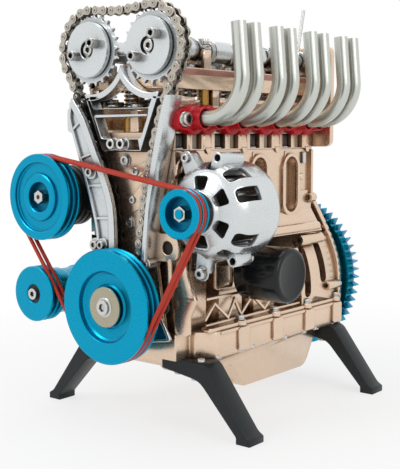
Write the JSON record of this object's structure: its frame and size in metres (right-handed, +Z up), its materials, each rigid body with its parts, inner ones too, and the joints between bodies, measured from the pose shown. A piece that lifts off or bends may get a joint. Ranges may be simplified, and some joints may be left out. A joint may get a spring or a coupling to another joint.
{
  "type": "four stroke engine model",
  "caption": "Bench-top inline twin-cam four stroke engine model on legs, with chain-driven cams, belt-driven accessories, curved exhaust pipes and a toothed flywheel",
  "frame": {"origin": "on the floor under the middle of the outer box", "axes": "+Z up, +Y from the pulleys at the front to the flywheel, +X to the exhaust side; the crankshaft lies along Y"},
  "size_m": [0.127, 0.1564, 0.1964],
  "materials": {
    "gold_case": "champagne anodised, satin",
    "silver_metal": "satin",
    "steel": "machined",
    "blue_anodised": "blue anodised, satin",
    "red_flange": "red, semi-gloss",
    "belt_rubber": "smooth round belt",
    "black_paint": "black, satin"
  },
  "bodies": {
    "frame": {"engine_block": "gold_case", "bedplate": "gold_case", "oil_pan": "gold_case", "leg_front_right": "black_paint", "leg_front_left": "black_paint", "leg_rear_right": "black_paint", "leg_rear_left": "black_paint", "cylinder_head": "gold_case", "cam_carrier": "gold_case", "cam_cap_1": "silver_metal", "cam_cap_2": "silver_metal", "cam_cap_3": "silver_metal", "cam_cap_4": "silver_metal", "cam_cap_5": "silver_metal", "rear_plate": "gold_case", "timing_backplate": "gold_case", "exhaust_flange": "red_flange", "exhaust_pipe_1": "silver_metal", "exhaust_pipe_2": "silver_metal", "exhaust_pipe_3": "silver_metal", "exhaust_pipe_4": "silver_metal", "exhaust_pipe_5": "silver_metal", "exhaust_pipe_6": "silver_metal", "exhaust_pipe_7": "silver_metal", "exhaust_pipe_8": "silver_metal", "intake_manifold": "silver_metal", "chain_bracket": "silver_metal", "tension_arm": "silver_metal", "chain_guide": "silver_metal", "timing_chain": "steel", "belt_front": "belt_rubber", "belt_rear": "belt_rubber", "alternator_housing": "silver_metal", "compressor_body": "black_paint", "pump_body": "blue_anodised", "oil_filter": "black_paint", "dipstick": "steel"},
    "crank": {"crankshaft": "steel", "crank_sprocket": "steel", "crank_pulley": "blue_anodised", "pulley_bolt": "steel", "flywheel": "blue_anodised"},
    "cam_left": {"cam_sprocket_left": "silver_metal", "camshaft_left": "silver_metal"},
    "cam_right": {"cam_sprocket_right": "silver_metal", "camshaft_right": "silver_metal"},
    "alternator": {"alternator_pulley": "blue_anodised", "alternator_rotor": "steel"},
    "compressor": {"compressor_pulley": "blue_anodised"},
    "idler": {"idler_pulley": "blue_anodised"},
    "rods_outer": {"con_rod_1": "steel", "con_rod_4": "steel"},
    "rods_inner": {"con_rod_2": "steel", "con_rod_3": "steel"},
    "dowel_upper": {"flywheel_dowel_upper": "steel"},
    "dowel_lower": {"flywheel_dowel_lower": "steel"},
    "pistons_outer": {"piston_1": "steel", "piston_4": "steel"},
    "pistons_inner": {"piston_2": "steel", "piston_3": "steel"}
  },
  "joints": [
    {"name": "crank_spin", "type": "hinge", "parent": "frame", "child": "crank", "pos_m": [-0.00067, 0, 0.057], "axis": [0, 1, 0], "continuous": true},
    {"name": "cam_left_spin", "type": "hinge", "parent": "frame", "child": "cam_left", "pos_m": [-0.01897, -0.0168, 0.171], "axis": [0, 1, 0], "continuous": true},
    {"name": "cam_right_spin", "type": "hinge", "parent": "frame", "child": "cam_right", "pos_m": [0.01763, -0.0168, 0.171], "axis": [0, 1, 0], "continuous": true},
    {"name": "alternator_spin", "type": "hinge", "parent": "frame", "child": "alternator", "pos_m": [0.04213, -0.0568, 0.1005], "axis": [0, 1, 0], "continuous": true},
    {"name": "compressor_spin", "type": "hinge", "parent": "frame", "child": "compressor", "pos_m": [-0.04307, -0.0668, 0.1042], "axis": [0, 1, 0], "continuous": true},
    {"name": "idler_spin", "type": "hinge", "parent": "frame", "child": "idler", "pos_m": [-0.04737, -0.0668, 0.0582], "axis": [0, 1, 0], "continuous": true},
    {"name": "rods_outer_spin", "type": "hinge", "parent": "crank", "child": "rods_outer", "pos_m": [-0.00067, -0.00455, 0.063], "axis": [0, 1, 0], "continuous": true},
    {"name": "rods_inner_spin", "type": "hinge", "parent": "crank", "child": "rods_inner", "pos_m": [-0.00067, -0.00455, 0.051], "axis": [0, 1, 0], "continuous": true},
    {"name": "dowel_upper_spin", "type": "hinge", "parent": "crank", "child": "dowel_upper", "pos_m": [-0.00067, 0.0732, 0.06], "axis": [0, 1, 0], "continuous": true},
    {"name": "dowel_lower_spin", "type": "hinge", "parent": "crank", "child": "dowel_lower", "pos_m": [-0.00067, 0.0732, 0.054], "axis": [0, 1, 0], "continuous": true},
    {"name": "pistons_outer_spin", "type": "hinge", "parent": "dowel_upper", "child": "pistons_outer", "pos_m": [-0.00067, -0.00455, 0.063], "axis": [0, 1, 0], "continuous": true},
    {"name": "pistons_inner_spin", "type": "hinge", "parent": "dowel_lower", "child": "pistons_inner", "pos_m": [-0.00067, -0.00455, 0.051], "axis": [0, 1, 0], "continuous": true}
  ],
  "couplings": [
    {"joint": "cam_left_spin", "follows": "crank_spin", "ratio": 0.5},
    {"joint": "cam_right_spin", "follows": "crank_spin", "ratio": 0.5},
    {"joint": "alternator_spin", "follows": "crank_spin", "ratio": 2.4689},
    {"joint": "compressor_spin", "follows": "crank_spin", "ratio": 1.2836},
    {"joint": "idler_spin", "follows": "crank_spin", "ratio": -1.9695},
    {"joint": "rods_outer_spin", "follows": "crank_spin", "ratio": -1},
    {"joint": "rods_inner_spin", "follows": "crank_spin", "ratio": -1},
    {"joint": "dowel_upper_spin", "follows": "crank_spin", "ratio": -2},
    {"joint": "dowel_lower_spin", "follows": "crank_spin", "ratio": -2},
    {"joint": "pistons_outer_spin", "follows": "crank_spin", "ratio": 1},
    {"joint": "pistons_inner_spin", "follows": "crank_spin", "ratio": 1}
  ]
}
